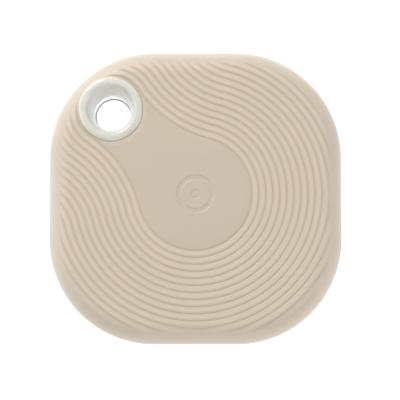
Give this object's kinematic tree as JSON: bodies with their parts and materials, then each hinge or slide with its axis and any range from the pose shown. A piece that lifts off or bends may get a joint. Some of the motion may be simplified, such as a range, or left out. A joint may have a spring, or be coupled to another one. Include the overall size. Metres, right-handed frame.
{
  "type": "bluetooth tracker tag",
  "caption": "Rounded-square keyring tracker tag with a rippled press-to-click face, a flared eyelet through one corner and a coin-turn battery door in its back.",
  "frame": {"origin": "centre of the flat back that the tag lies on", "axes": "+Z out of the front face, +Y towards the end with the eyelet, +X to the right seen from the front"},
  "size_m": [0.04, 0.04, 0.0102],
  "materials": {
    "shell_beige": "fine matte spark texture",
    "bezel_cream": "gloss",
    "sleeve_steel": "polished",
    "gasket_beige": "matte",
    "seal_black": "matte",
    "pad_foam": "matte",
    "board_green": "satin solder mask",
    "chip_black": "satin",
    "ceramic_white": "satin",
    "capacitor_tan": "satin",
    "contact_brass": "satin",
    "cell_steel": "brushed",
    "nylon_white": "matte",
    "led_clear": "gloss"
  },
  "bodies": {
    "housing": {"rear_housing": "shell_beige", "cover_gasket": "gasket_beige", "eyelet_bezel": "bezel_cream", "eyelet_sleeve": "sleeve_steel", "eyelet_rear_ring": "bezel_cream", "cell_can": "cell_steel", "cell_cap": "cell_steel", "cell_seal": "nylon_white", "cell_core": "chip_black", "cell_cradle": "nylon_white", "positive_contact": "contact_brass", "negative_contact": "contact_brass", "circuit_board": "board_green", "radio_chip": "chip_black", "radio_crystal": "cell_steel", "clock_crystal": "cell_steel", "chip_antenna": "ceramic_white", "status_led": "led_clear", "supply_inductor": "chip_black", "capacitor_1": "capacitor_tan", "capacitor_2": "capacitor_tan", "capacitor_3": "capacitor_tan", "capacitor_4": "capacitor_tan", "bulk_capacitor": "capacitor_tan", "resistor_1": "chip_black", "resistor_2": "chip_black", "switch_base": "chip_black", "switch_dome": "cell_steel", "switch_frame": "cell_steel", "buzzer_case": "chip_black", "buzzer_plate": "contact_brass", "buzzer_ceramic": "ceramic_white", "board_screw_1": "cell_steel", "board_screw_2": "cell_steel", "board_screw_3": "cell_steel"},
    "cover": {"front_cover": "shell_beige", "actuator_pad": "seal_black", "eyelet_seal": "seal_black"},
    "plunger": {"switch_plunger": "nylon_white"},
    "door": {"battery_door": "shell_beige", "door_seal": "seal_black", "cell_pad": "pad_foam"}
  },
  "joints": [
    {"name": "cover_press", "type": "slide", "parent": "housing", "child": "cover", "axis": [0, 0, -1], "range_m": [0, 0.0003], "stiffness_N_per_m": 2000},
    {"name": "plunger_press", "type": "slide", "parent": "housing", "child": "plunger", "axis": [0, 0, -1], "range_m": [0, 0.0003], "deforming": ["switch_dome"]},
    {"name": "door_turn", "type": "hinge", "parent": "housing", "child": "door", "pos_m": [0.00034, -0.00035, 0], "axis": [0, 0, -1], "range_deg": [0, 36]}
  ],
  "couplings": [
    {"joint": "plunger_press", "follows": "cover_press", "ratio": 1}
  ]
}
